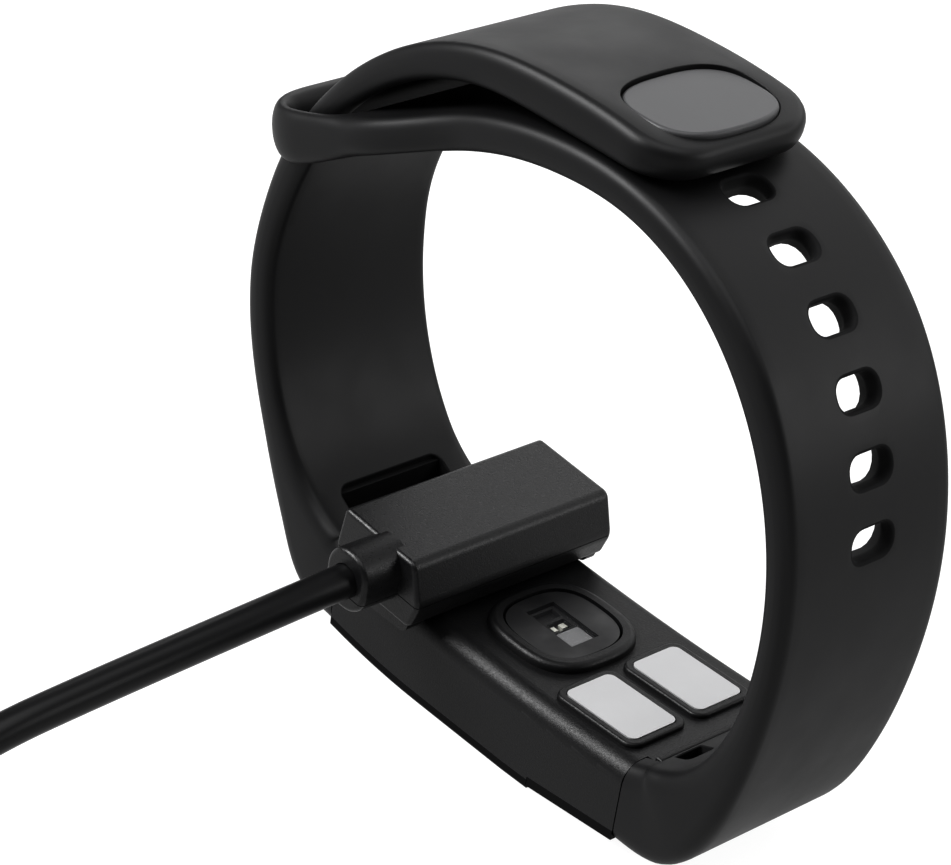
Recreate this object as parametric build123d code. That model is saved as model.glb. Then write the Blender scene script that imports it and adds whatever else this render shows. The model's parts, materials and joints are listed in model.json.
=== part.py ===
"""Fitness tracker band on its clip-on charger: one STEP file per physical piece.

Frame, in millimetres: the band stands on its display.  The origin is the middle of the flat stretch
of the display lens, +X runs along the module towards the strap with the slots, +Y is the wrist's
axis, and +Z points from the display into the loop.
"""
from build123d import *
from math import copysign, cos, pi, radians, sin, tan
import os

# ---- driving dimensions -------------------------------------------------------------------------
BAND_WIDTH = 18.0            # module and strap, across the wrist's axis
MODULE_LEFT = -18.5          # where the module ends and the strap with the peg begins
MODULE_RIGHT = 17.0          # where the module ends and the strap with the slots begins
REAR_Z = 8.4                 # rear face at the middle of the module
REAR_RADIUS = 250.0          # the rear face is slightly hollow along X, to follow the wrist
NEAR_SHOULDER, FAR_SHOULDER = 1.8, 0.8   # rounds between the rear face and the two long sides
FLAT_LEFT, FLAT_RIGHT = -7.0, 4.0    # stretch of the lens that the band stands on
LEFT_LIFT = 0.95             # how far the front face has risen at the module's left end
STEP_X = 7.0                 # where the lens ends and the key panel begins
STEP_DEPTH = 0.45            # the key panel is set back from the lens
RIGHT_LIFT = 1.58            # how far the front face has risen at the module's right end
LENS_THICKNESS = 0.95
TRIM_THICKNESS = 0.9
WALL = 1.1                   # walls of the rear case
BODY_GAP = 0.15              # between pieces that move apart
LENS_EDGE = 0.3              # round along the lens's long front edges

TONGUE_REACH = 1.5           # the rear face runs on over each strap's end, as a tongue with a raised lip
TONGUE_HALF = 6.4
TONGUE_LOW = 7.9
LIP_WIDTH, LIP_HEIGHT = 0.65, 0.38
TONGUE_GAP = 0.15

SENSOR_SIZE = (11.4, 11.3)
SENSOR_HEIGHT = 0.85
SENSOR_WINDOW = (8.8, 8.7)
SENSOR_POWER = 2.8
WINDOW_GROOVE = 0.22         # the window lies in a groove, a little below its ring
WINDOW_DROP = 0.18
APERTURE = ((-2.9, 2.8), (-1.55, 1.55))
KEY_X = 12.0
KEY_LENGTH, KEY_WIDTH = 8.6, 4.0
KEY_FACE_Z = 0.85
PAD_X, PAD_Y = 11.12, 3.77
PAD_SIZE = (8.1, 5.2)
PAD_FRAME_SIZE = (9.5, 6.6)
PAD_HEIGHT = 0.5

STRAP_WIDTH = 18.0
RING_WIDTH = 21.6            # outside width of the moulded ring
RING_END_X = -35.2
RING_OPENING_X = (-32.45, -24.6)
RING_OPENING_WIDTH = 17.7
PEG_STRAP_WIDTH = 17.3       # narrow enough to thread the ring
TAIL_TIP_X = 10.3
SLOT_PITCH = 5.9
SLOT_COUNT = 10
FIRST_SLOT = 39.2            # along the outer face, from the module to the first slot's centre
SLOT_LENGTH, SLOT_WIDTH = 4.6, 2.8   # across the strap, along the strap
PEG_SLOT_INDEX = 6           # the slot that the peg sits in, counted from the module
HINGE_X, HINGE_Z = -11.0, 57.5       # where the tail of the strap bends away
TAIL_THICKNESS = 2.9
PEG_SETBACK = 0.3            # the peg sits back in its slot, so that it swings out cleanly
CAP_SIZE = (9.3, 12.4)
CAP_THICKNESS = 0.9
CAP_SEAT_Z = 59.05

BAR_OFFSET = 2.6             # release bars, from the module's ends along X
BAR_Z = 6.3
SLEEVE_RADIUS = 0.8
TIP_RADIUS = 0.45
LEVER_Y = 4.6
POCKET_HALF = 6.0
POCKET_FLOOR_Z = 4.6
POCKET_REACH = 4.3           # the open pocket's deep part, and the ledge beyond it
LEDGE_REACH, LEDGE_Z = 4.8, 10.9
EAR_INNER, EAR_OUTER = 6.05, 7.25
EAR_REACH = 4.0
EAR_LOW, EAR_HIGH = 4.9, 7.7
BRACKET_DEPTH = 0.9          # how far the bracket is let into the module's end

CLIP_MIN_Y, CLIP_MAX_Y = -11.56, 10.71
CLIP_X = -11.4
# The clip's cross-section, (x, z), with the radius of each corner.
CLIP_OUTLINE = [
    ((-15.7, 9.15), 0.8), ((-16.4, 11.9), 1.0), ((-15.85, 15.5), 0.5), ((-6.9, 14.95), 0.9),
    ((-5.7, 11.2), 1.8), ((-6.6, 8.75), 0.8),
]
CLIP_END_ROUND = 0.4
CLIP_WALL = 0.9
CLIP_LIP_LOW = 7.85          # the lips at the clip's ends reach down past the module's rear face
BOSS_END_Y = -15.5
BOSS_SIZE, BOSS_CORNER = (4.9, 5.6), 2.3
CABLE_DIAMETER = 3.0
CABLE_X, CABLE_Z = -10.65, 12.6
PIN_PITCH = 2.5
PIN_COUNT = 4
PIN_RADIUS = 0.45

COIL_CENTRE = (8.4, -97.0)
COIL_TURN_RADII = (11.85, 14.9, 17.95, 21.0)
COIL_LAYERS = 2
COIL_LAYER_PITCH = 3.05
PLUG_BODY = (15.6, 7.7, 19.0)
PLUG_SHELL = (12.0, 4.5, 12.0)

# Side outlines of the straps, (x, z), from the module outwards.
HOLE_STRAP_OUTER = [
    (17.05, 1.35), (21.6, 1.95), (24.95, 5.15), (27.6, 11.5), (29.4, 21.0), (29.4, 31.0), (27.15, 40.1),
    (22.6, 47.75), (15.4, 53.3), (6.0, 56.1), (-2.0, 55.9), (-10.4, 53.8), (-18.0, 50.3), (-25.0, 47.3),
    (-30.2, 45.5), (-33.4, 44.75),
]
HOLE_STRAP_INNER = [
    (17.05, 8.98), (21.6, 11.1), (25.3, 16.0), (27.15, 24.0), (26.45, 33.0), (23.3, 41.2), (18.0, 47.9),
    (11.4, 52.1), (5.8, 53.5), (0.0, 53.4), (-7.0, 52.0), (-15.0, 48.7), (-24.0, 44.05), (-29.6, 41.25),
    (-33.2, 40.3),
]
PEG_STRAP_OUTER = [
    (-18.55, 0.97), (-23.6, 2.4), (-26.2, 6.0), (-30.4, 14.7), (-33.6, 23.4), (-34.2, 32.6),
    (-32.0, 41.2), (-27.7, 48.1), (-21.8, 53.95), (-11.0, 58.95),
]
PEG_STRAP_INNER = [
    (-18.55, 9.05), (-22.6, 10.9), (-27.9, 16.6), (-31.0, 24.4), (-31.6, 32.4), (-29.3, 40.3),
    (-25.6, 46.8), (-19.9, 52.2), (-11.0, 56.05),
]
TAIL_TOP = [(-11.0, 58.95), (-3.2, 59.9), (3.4, 59.95), (8.2, 59.4)]
TAIL_UNDER = [(8.2, 56.75), (2.0, 56.7), (-4.0, 56.55), (-11.0, 56.05)]

# The charging cable's route, (x, y, z), from inside the clip's boss to the coil's lowest, outer turn.
CABLE_ROUTE = [
    (-10.65, -12.5, 12.6), (-10.65, -15.5, 12.6), (-10.65, -33.0, 11.6), (-10.65, -50.0, 10.45),
    (-11.1, -61.0, 6.2), (-11.9, -73.0, 1.8), (-12.6, -88.5, 1.5), (-12.6, -97.0, 1.5),
]
# From the coil's upper, outer turn to the plug.
CABLE_TAIL = [(29.4, -97.0, 4.55), (29.4, -90.0, 4.55), (31.2, -82.0, 3.85)]


# ---- helpers ------------------------------------------------------------------------------------
def rear_height(x):
    """Height of the module's rear face at x."""
    return REAR_Z + x * x / (2 * REAR_RADIUS)


def side_solid(edges, width):
    """A closed outline in the XZ plane, extruded equally both ways along Y."""
    return extrude(make_face(edges), amount=width / 2, both=True, dir=(0, 1, 0))


def xz(points):
    return [(x, 0, z) for x, z in points]


def box(x, y, z):
    """A block from its (low, high) pairs."""
    return Pos((x[0] + x[1]) / 2, (y[0] + y[1]) / 2, (z[0] + z[1]) / 2) * Box(
        x[1] - x[0], y[1] - y[0], z[1] - z[0])


def plate(plane, length, width, thickness, corner):
    """A round-cornered plate that starts on a plane and rises along its normal."""
    return extrude(plane * RectangleRounded(length, width, corner), amount=thickness)


def superellipse(plane, length, width, power, thickness):
    """A plate whose outline is a superellipse: a square with full, even sides and soft corners."""
    count = 24
    points = []
    for step in range(count):
        turn = 2 * pi * step / count
        x = length / 2 * copysign(abs(cos(turn)) ** (2 / power), cos(turn))
        y = width / 2 * copysign(abs(sin(turn)) ** (2 / power), sin(turn))
        points.append((x, y))
    outline = Spline(*points, periodic=True)
    return extrude(plane * make_face(outline), amount=thickness)


def rear_plane(x, y):
    """A plane on the module's rear face, facing into the loop."""
    slope = x / REAR_RADIUS
    return Plane(origin=(x, y, rear_height(x)), x_dir=(1, 0, slope), z_dir=(-slope, 0, 1))


def span(end, low, high):
    """The (low, high) pair of X stations at two distances outwards from one end of the module."""
    direction = copysign(1, end)
    return tuple(sorted((end + direction * low, end + direction * high)))


def rod(centre, radius, low, high, axis):
    """A round bar along one row axis, from low to high on that axis."""
    length = high - low
    middle = (low + high) / 2
    x, y, z = centre
    if axis == "x":
        return Pos(middle, y, z) * Rot(0, 90, 0) * Cylinder(radius, length)
    if axis == "y":
        return Pos(x, middle, z) * Rot(90, 0, 0) * Cylinder(radius, length)
    return Pos(x, y, middle) * Cylinder(radius, length)


def slot_prism(length, width, low, high):
    """An upright prism with round ends along Y, at the key's place."""
    outline = Pos(KEY_X, 0, low) * SlotOverall(length, width, rotation=90)
    return extrude(outline, amount=high - low)


def smooth_edges(shape, edges, radius):
    """Round a few edges, and keep the shape as it was where the kernel can't."""
    try:
        rounded = fillet(edges, radius)
    except (ValueError, RuntimeError):
        return shape
    return rounded if rounded.is_valid else shape


def write(name, *shapes):
    solids = [solid for shape in shapes for solid in shape.solids()]
    part = solids[0] if len(solids) == 1 else Compound(children=solids)
    export_step(part, f"parts/{name}.step")


# ---- module -------------------------------------------------------------------------------------
def front_edges(lift=0.0):
    """The front face's side outline, from left to right, moved up by lift."""
    left_middle = (MODULE_LEFT + FLAT_LEFT) / 2
    left_radius = (FLAT_LEFT - MODULE_LEFT) ** 2 / (2 * LEFT_LIFT)
    left_rise = (FLAT_LEFT - left_middle) ** 2 / (2 * left_radius)
    step_rise = 0.1
    left_arc = ThreePointArc(
        (MODULE_LEFT, 0, LEFT_LIFT + lift), (left_middle, 0, left_rise + lift), (FLAT_LEFT, 0, lift))
    rest = Polyline(
        (FLAT_LEFT, 0, lift), (FLAT_RIGHT, 0, lift), (STEP_X, 0, step_rise + lift),
        (STEP_X, 0, STEP_DEPTH + lift), (MODULE_RIGHT, 0, RIGHT_LIFT + lift))
    return [left_arc, rest]


def module_envelope():
    """The whole module as one block, with round shoulders along its rear face."""
    left_z, right_z = rear_height(MODULE_LEFT), rear_height(MODULE_RIGHT)
    rear = ThreePointArc((MODULE_RIGHT, 0, right_z), (0, 0, REAR_Z), (MODULE_LEFT, 0, left_z))
    outline = front_edges() + [
        Line((MODULE_RIGHT, 0, RIGHT_LIFT), (MODULE_RIGHT, 0, right_z)),
        rear,
        Line((MODULE_LEFT, 0, left_z), (MODULE_LEFT, 0, LEFT_LIFT)),
    ]
    block = side_solid(outline, BAND_WIDTH)
    for side, radius in ((-1, NEAR_SHOULDER), (1, FAR_SHOULDER)):
        shoulder = [edge for edge in block.edges()
                    if edge.center().Z > REAR_Z - 1 and edge.center().Y * side > BAND_WIDTH / 2 - 0.1
                    and edge.length > 20]
        block = fillet(shoulder, radius)
    return block


def front_layer(x_low, x_high, thickness):
    """The front skin of the module between two stations, as thick as stated."""
    outline = front_edges(-0.001) + [
        Line((MODULE_RIGHT, 0, RIGHT_LIFT - 0.001), (MODULE_RIGHT, 0, RIGHT_LIFT + thickness))]
    upper = front_edges(thickness)
    outline += upper
    outline.append(Line((MODULE_LEFT, 0, LEFT_LIFT - 0.001), (MODULE_LEFT, 0, LEFT_LIFT + thickness)))
    layer = side_solid(outline, BAND_WIDTH + 2)
    return layer & box((x_low, x_high), (-BAND_WIDTH, BAND_WIDTH), (-5, 10))


def tongue(end):
    """The rear face's run-on over a strap's end, with its lip."""
    direction = copysign(1, end)
    near, far = end - direction * 0.5, end + direction * TONGUE_REACH
    outline = Polyline((near, 0, TONGUE_LOW), (far, 0, TONGUE_LOW), (far, 0, rear_height(far)),
                       (near, 0, rear_height(near)), close=True)
    plate_part = side_solid([outline], 2 * TONGUE_HALF)
    lip = box(span(end, TONGUE_REACH - LIP_WIDTH, TONGUE_REACH), (-TONGUE_HALF, TONGUE_HALF),
              (TONGUE_LOW, rear_height(far) + LIP_HEIGHT))
    lip = smooth_edges(lip, lip.faces().sort_by(Axis.Z)[-1].edges(), 0.22)
    return plate_part + lip


def pin_stations():
    """Y positions of the charging contacts, centred under the clip."""
    return [(index - (PIN_COUNT - 1) / 2) * PIN_PITCH for index in range(PIN_COUNT)]


def module_parts():
    envelope = module_envelope()
    lens_zone = front_layer(MODULE_LEFT - 1, STEP_X, LENS_THICKNESS)
    trim_zone = front_layer(STEP_X, MODULE_RIGHT + 1, TRIM_THICKNESS)
    lens = envelope & lens_zone
    front_rim = [edge for edge in lens.edges()
                 if edge.center().Z < LENS_THICKNESS * 0.6 and abs(edge.center().Y) > BAND_WIDTH / 2 - 0.01
                 and edge.length > 2]
    lens = smooth_edges(lens, front_rim, LENS_EDGE)
    trim = (envelope & trim_zone) - box((STEP_X - 1, STEP_X + 0.06), (-10, 10), (-1, 3))

    inner_left, inner_right = MODULE_LEFT + WALL, MODULE_RIGHT - WALL
    half = BAND_WIDTH / 2 - WALL
    cavity = Pos((inner_left + inner_right) / 2, 0, 4.1) * Box(inner_right - inner_left, 2 * half, 6.4)
    cavity = fillet(cavity.edges().filter_by(Axis.X), 1.2)
    case = envelope - lens_zone - trim_zone - cavity

    pedestal_plane = Plane(origin=(0, 0, REAR_Z - 0.5))
    pedestal = superellipse(pedestal_plane, *SENSOR_SIZE, SENSOR_POWER, SENSOR_HEIGHT + 0.5)
    pedestal = smooth_edges(pedestal, pedestal.faces().sort_by(Axis.Z)[-1].edges(), 0.55)
    window_hole = superellipse(Plane(origin=(0, 0, REAR_Z - 1)), SENSOR_WINDOW[0] + 2 * WINDOW_GROOVE,
                               SENSOR_WINDOW[1] + 2 * WINDOW_GROOVE, SENSOR_POWER, 3)
    seat = superellipse(pedestal_plane, SENSOR_SIZE[0] + 0.03, SENSOR_SIZE[1] + 0.03, SENSOR_POWER, 2)
    case -= seat
    case -= superellipse(Plane(origin=(0, 0, REAR_Z - 3)), *SENSOR_WINDOW, SENSOR_POWER, 3)
    pedestal -= window_hole
    window = superellipse(Plane(origin=(0, 0, REAR_Z + 0.05)), *SENSOR_WINDOW, SENSOR_POWER,
                          SENSOR_HEIGHT - WINDOW_DROP - 0.05)
    aperture = box(*APERTURE, (REAR_Z - 1, REAR_Z + 2))
    window -= aperture
    cover = box((APERTURE[0][0] + 0.02, APERTURE[0][1] - 0.02),
                (APERTURE[1][0] + 0.02, APERTURE[1][1] - 0.02), (REAR_Z + 0.4, REAR_Z + 0.62))

    pads, frames = [], []
    for y in (-PAD_Y, PAD_Y):
        plane = rear_plane(PAD_X, y)
        frame = plate(plane.offset(-0.5), *PAD_FRAME_SIZE, 0.95, 1.2)
        rim = frame.faces().sort_by(Axis.Z)[-1].edges()
        frame = smooth_edges(frame, rim, 0.25)
        pad = plate(plane.offset(-0.3), *PAD_SIZE, 0.3 + PAD_HEIGHT, 0.7)
        frame -= plate(plane.offset(-0.3), PAD_SIZE[0] + 0.2, PAD_SIZE[1] + 0.2, 2, 0.8)
        case -= plate(plane.offset(-0.5), *PAD_FRAME_SIZE, 2, 1.2)
        frames.append(frame)
        pads.append(pad)

    contacts = []
    for y in pin_stations():
        base = rear_height(CLIP_X)
        case -= rod((CLIP_X, y, 0), 0.8, base - 0.6, base + 1, "z")
        contacts.append(rod((CLIP_X, y, 0), 0.8, base - 0.6, base - 0.02, "z"))

    key_hole = slot_prism(KEY_LENGTH + 0.3, KEY_WIDTH + 0.3, -1.0, 4.0)
    trim -= key_hole
    case -= slot_prism(KEY_LENGTH + 2.4, KEY_WIDTH + 1.8, 0.0, 3.0)
    key = slot_prism(KEY_LENGTH, KEY_WIDTH, KEY_FACE_Z, 2.6)
    key += slot_prism(KEY_LENGTH + 1.4, KEY_WIDTH + 0.8, 2.35, 2.65)

    for end in (MODULE_LEFT, MODULE_RIGHT):
        case += tongue(end)
        case -= box(span(end, -BRACKET_DEPTH, 0), (-EAR_OUTER, EAR_OUTER), (EAR_LOW, EAR_HIGH))

    write("rear_case", case)
    write("display_lens", lens)
    write("key_panel", trim)
    write("home_key", key)
    write("sensor_pedestal", pedestal)
    write("sensor_window", window)
    write("aperture_cover", cover)
    write("electrode_pad_near", pads[0])
    write("electrode_pad_far", pads[1])
    write("electrode_frames", *frames)
    write("charge_contacts", *contacts)


def inner_parts():
    """What the module holds inside, stacked from the display to the sensor."""
    display = box((-12.8, 5.2), (-6.8, 6.8), (1.32, 2.4))
    display_tape = box((-13.0, 5.4), (-7.2, 7.2), (1.22, 1.3)) - box((-12.0, 4.4), (-6.2, 6.2), (0, 2))
    battery = box((-16.2, 0.6), (-6.4, 6.4), (2.6, 4.9))
    battery = fillet(battery.edges().filter_by(Axis.X), 1.0)
    board = box((-16.6, 15.2), (-6.6, 6.6), (5.2, 5.9)) - box((1.6, 9.0), (4.3, 7), (5, 6))
    shield = box((1.6, 8.8), (-5.6, 3.8), (3.7, 5.15))
    shield = fillet(shield.edges().filter_by(Axis.Z), 0.5)
    switch = box((10.2, 13.8), (-2.4, 2.4), (3.95, 5.15)) + rod((12.0, 0, 0), 1.1, 2.95, 4.0, "z")
    motor = rod((0, 6.0, 4.2), 1.5, 1.9, 8.7, "x")
    sensor_board = box((-4.2, 4.2), (-3.4, 3.4), (6.55, 7.05))
    barrier_outer = box((-2.8, 2.7), (-1.5, 1.5), (7.1, 8.75))
    barrier = barrier_outer - box((-0.95, 0.35), (-1.0, 1.0), (7, 9)) - box((0.45, 2.55), (-1.35, 1.35), (7, 9))
    barrier -= box((-2.5, -1.3), (-1.1, 1.1), (8.3, 9))
    leds = [box((-0.75, -0.15), (y - 0.3, y + 0.3), (7.1, 8.45)) for y in (-0.55, 0.55)]
    diode = box((0.5, 2.5), (-1.3, 1.3), (7.1, 8.7))
    keeper = box((CLIP_X - 2.4, CLIP_X + 2.4), (-5.6, 5.6), (6.45, 7.15))
    flex = box((-16.9, -16.7), (-3.0, 3.0), (2.1, 6.1)) + box((-16.9, -15.6), (-3.0, 3.0), (5.92, 6.1))
    flex += box((-16.9, -12.85), (-3.0, 3.0), (2.1, 2.3))
    screws = []
    for x, y in ((-15.0, 5.5), (-15.0, -5.5), (14.2, 5.5), (14.2, -5.5)):
        screws.append(rod((x, y, 0), 0.9, 4.6 if x > 0 else 4.95, 5.15, "z"))
    write("display_panel", display)
    write("display_seal", display_tape)
    write("battery", battery)
    write("main_board", board)
    write("board_shield", shield)
    write("key_switch", switch)
    write("sensor_board", sensor_board)
    write("sensor_barrier", barrier)
    write("sensor_leds", *leds)
    write("photodiode", diode)
    write("keeper_plate", keeper)
    write("display_flex", flex)
    write("board_screws", *screws)
    write("vibration_motor", motor)


# ---- straps -------------------------------------------------------------------------------------
def ring_plan():
    """Plan outline of the strap with the slots: it flares into the ring, whose corners are round."""
    half, ring = STRAP_WIDTH / 2, RING_WIDTH / 2
    corner = 5.5
    flare_start, flare_end = -11.5, -23.0
    edges = []
    for side in (-1, 1):
        flare = Spline((flare_start, side * half), (flare_end, side * ring), tangents=[(-1, 0), (-1, 0)])
        edges += [
            Line((40, side * half), (flare_start, side * half)),
            flare,
            Line((flare_end, side * ring), (RING_END_X + corner, side * ring)),
            ThreePointArc(
                (RING_END_X + corner, side * ring),
                (RING_END_X + corner * (1 - sin(pi / 4)), side * (ring - corner * (1 - sin(pi / 4)))),
                (RING_END_X, side * (ring - corner))),
        ]
    edges.append(Line((RING_END_X, corner - ring), (RING_END_X, ring - corner)))
    edges.append(Line((40, -half), (40, half)))
    return extrude(make_face(edges), amount=80)


def slot_cutter(outer, index):
    """One slot, square to the strap's outer face."""
    distance = FIRST_SLOT + index * SLOT_PITCH
    point = outer.position_at(distance, PositionMode.LENGTH)
    along = outer.tangent_at(distance, PositionMode.LENGTH)
    face = Plane(origin=point, x_dir=(0, 1, 0), z_dir=along.cross(Vector(0, 1, 0)))
    return extrude(face * RectangleRounded(SLOT_LENGTH, SLOT_WIDTH, 1.3), amount=5, both=True)


def strap_end_cuts(end, hand):
    """Room for the tongue, the bracket's ears and the release bar in the end of a strap.

    The left strap has an open pocket with a ledge.  The right one only has a bore and a lever slot.
    """
    room = BODY_GAP + TONGUE_REACH
    cuts = [box(span(end, 0.02, room), (-TONGUE_HALF - TONGUE_GAP, TONGUE_HALF + TONGUE_GAP),
                (TONGUE_LOW - TONGUE_GAP, 20))]
    for side in (-1, 1):
        across = tuple(sorted((side * (POCKET_HALF - 0.1), side * (EAR_OUTER + 0.1))))
        cuts.append(box(span(end, 0.02, EAR_REACH + 0.1), across, (EAR_LOW - 0.1, EAR_HIGH + 0.1)))
    if end < 0:
        cuts.append(box(span(end, 0.02, POCKET_REACH), (-POCKET_HALF, POCKET_HALF), (POCKET_FLOOR_Z, 20)))
        cuts.append(box(span(end, 0.02, LEDGE_REACH), (-POCKET_HALF, POCKET_HALF), (LEDGE_Z, 20)))
        return cuts
    bar_x = end + BAR_OFFSET
    cuts.append(box(span(end, 0.02, room), (-POCKET_HALF, POCKET_HALF), (POCKET_FLOOR_Z, 20)))
    cuts.append(rod((bar_x, 0, BAR_Z), SLEEVE_RADIUS + 0.06, -POCKET_HALF - 0.05, POCKET_HALF + 0.05, "y"))
    lever_room = tuple(sorted((hand * (LEVER_Y + 0.8), hand * (LEVER_Y - 2.1))))
    cuts.append(box((bar_x - 0.75, bar_x + 0.75), lever_room, (BAR_Z, 20)))
    return cuts


def strap_parts():
    outer, inner = Spline(*xz(HOLE_STRAP_OUTER)), Spline(*xz(HOLE_STRAP_INNER))
    ring_end = ThreePointArc(outer @ 1, (RING_END_X, 0, 42.2), inner @ 1)
    band = side_solid([outer, ring_end, inner, Line(inner @ 0, outer @ 0)], RING_WIDTH)
    band &= ring_plan()
    opening_x = (RING_OPENING_X[0] + RING_OPENING_X[1]) / 2
    opening = Pos(opening_x, 0, 30) * RectangleRounded(
        RING_OPENING_X[1] - RING_OPENING_X[0], RING_OPENING_WIDTH, 0.6)
    band -= extrude(opening, amount=30)
    for index in range(SLOT_COUNT):
        band -= slot_cutter(outer, index)
    for cut in strap_end_cuts(MODULE_RIGHT, -1):
        band -= cut
    peg = outer.position_at(FIRST_SLOT + PEG_SLOT_INDEX * SLOT_PITCH, PositionMode.LENGTH)
    first = outer.position_at(FIRST_SLOT, PositionMode.LENGTH)
    print("first slot", round(first.X, 2), round(first.Z, 2), "peg slot", round(peg.X, 2), round(peg.Z, 2))

    left_outer, left_inner = Spline(*xz(PEG_STRAP_OUTER)), Spline(*xz(PEG_STRAP_INNER))
    side = [left_outer, Line(left_outer @ 1, left_inner @ 1), left_inner,
            Line(left_inner @ 0, left_outer @ 0)]
    root = side_solid(side, PEG_STRAP_WIDTH) + (side_solid(side, STRAP_WIDTH) & peg_strap_taper())
    root -= rod((HINGE_X, 0, HINGE_Z), TAIL_THICKNESS / 2 + BODY_GAP, -12, 12, "y")
    for cut in strap_end_cuts(MODULE_LEFT, 1):
        root -= cut
    write("hole_strap", band)
    write("peg_strap", root)
    tail_parts(peg.X - PEG_SETBACK)


def peg_strap_taper():
    """Keeps the full width at the module and runs out to the narrow width above it."""
    high, low = STRAP_WIDTH / 2, PEG_STRAP_WIDTH / 2
    outline = Polyline((0, high, 0), (0, high, 30), (0, low, 39), (0, -low, 39), (0, -high, 30),
                       (0, -high, 0), close=True)
    return Pos(-45, 0, 0) * extrude(make_face(outline), amount=45, dir=(1, 0, 0))


def tail_parts(peg_x):
    top, under = Spline(*xz(TAIL_TOP)), Spline(*xz(TAIL_UNDER))
    tip = ThreePointArc(top @ 1, (TAIL_TIP_X, 0, 58.1), under @ 0)
    heel = ThreePointArc(under @ 1, (HINGE_X - TAIL_THICKNESS / 2, 0, HINGE_Z), top @ 0)
    tail = side_solid([top, tip, under, heel], PEG_STRAP_WIDTH)
    length = 40.0
    plan = Pos(TAIL_TIP_X - length / 2, 0, 50) * RectangleRounded(length, PEG_STRAP_WIDTH, 4.6)
    tail &= extrude(plan, amount=20)
    cap_plane = Plane(origin=(peg_x, 0, CAP_SEAT_Z))
    tail -= superellipse(cap_plane, CAP_SIZE[0] + 0.3, CAP_SIZE[1] + 0.3, SENSOR_POWER, 3)
    tail -= extrude(Pos(peg_x, 0, 55) * SlotOverall(3.2, 1.7, rotation=90), amount=6)
    tail -= extrude(Pos(peg_x, 0, 58.55) * SlotOverall(7.2, 4.2, rotation=90), amount=3)

    cap = superellipse(cap_plane, *CAP_SIZE, SENSOR_POWER, CAP_THICKNESS)
    cap = smooth_edges(cap, cap.faces().sort_by(Axis.Z)[-1].edges(), 0.3)
    stud = extrude(Pos(peg_x, 0, 52.4) * SlotOverall(3.0, 1.5, rotation=90), amount=6.5)
    stud += extrude(Pos(peg_x, 0, 52.2) * SlotOverall(3.9, 1.9, rotation=90), amount=1.0)
    stud += extrude(Pos(peg_x, 0, 58.6) * SlotOverall(7.0, 4.0, rotation=90), amount=0.43)
    write("peg_strap_tail", tail)
    write("peg_cap", cap)
    write("peg_stud", stud)


def release_bar(name, end, hand):
    """The bracket on one end of the module, and the release bar that holds the strap to it.

    The lever is on the +Y side where hand is 1, and on the -Y side where it is -1.
    """
    bar_x = end + copysign(BAR_OFFSET, end)

    def bar(radius, low, high):
        low, high = sorted((hand * low, hand * high))
        return rod((bar_x, 0, BAR_Z), radius, low, high, "y")
    bracket = box(span(end, -BRACKET_DEPTH, 0.0), (-EAR_OUTER, EAR_OUTER), (EAR_LOW, EAR_HIGH))
    for side in (-1, 1):
        ear = box(span(end, -BRACKET_DEPTH, EAR_REACH),
                  tuple(sorted((side * EAR_INNER, side * EAR_OUTER))), (EAR_LOW, EAR_HIGH))
        nose = ear.edges().filter_by(Axis.Y).group_by(Axis.X)[-1 if end > 0 else 0]
        bracket += smooth_edges(ear, nose, 1.2)
    bracket -= bar(TIP_RADIUS + 0.05, -6.9, 6.9)
    sleeve = bar(SLEEVE_RADIUS, -5.7, 2.4) + bar(TIP_RADIUS, -6.8, -5.6)
    sleeve -= bar(TIP_RADIUS + 0.05, -4.6, 3)
    spring = bar(TIP_RADIUS - 0.05, -4.5, -0.9) - bar(TIP_RADIUS - 0.2, -5, 1)
    pin = bar(TIP_RADIUS, 0.6, 6.8)
    pin += rod((bar_x, hand * LEVER_Y, 0), TIP_RADIUS - 0.07, BAR_Z, BAR_Z + 1.9, "z")
    pin += rod((bar_x, hand * LEVER_Y, 0), 0.62, BAR_Z + 1.9, BAR_Z + 2.3, "z")
    write(f"strap_bracket_{name}", bracket)
    write(f"bar_sleeve_{name}", sleeve)
    write(f"bar_spring_{name}", spring)
    write(f"release_pin_{name}", pin)


# ---- charging clip ------------------------------------------------------------------------------
def clip_envelope():
    depth = CLIP_MAX_Y - CLIP_MIN_Y
    middle = (CLIP_MAX_Y + CLIP_MIN_Y) / 2
    outline = Polyline(*xz([point for point, _ in CLIP_OUTLINE]), close=True)
    body = Pos(0, middle, 0) * side_solid([outline], depth)
    for (x, z), radius in CLIP_OUTLINE:
        corner = [edge for edge in body.edges().filter_by(Axis.Y)
                  if abs(edge.center().X - x) < 0.05 and abs(edge.center().Z - z) < 0.05]
        body = smooth_edges(body, corner, radius)
    for side in (0, -1):
        body = smooth_edges(body, body.faces().sort_by(Axis.Y)[side].edges(), CLIP_END_ROUND)
    section = Plane(origin=(CABLE_X, BOSS_END_Y, CABLE_Z), x_dir=(1, 0, 0), z_dir=(0, 1, 0))
    boss = extrude(section * RectangleRounded(*BOSS_SIZE, BOSS_CORNER), amount=CLIP_MIN_Y - BOSS_END_Y + 1)
    boss = smooth_edges(boss, boss.faces().sort_by(Axis.Y)[0].edges(), 0.45)
    return body + boss


def below_parting(gap):
    """Everything below the line where the clip's two shells meet."""
    outline = Polyline((-25, 0, -5), (-25, 0, 12.05 - gap), (0, 0, 10.9 - gap), (0, 0, -5), close=True)
    return side_solid([outline], 60)


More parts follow.
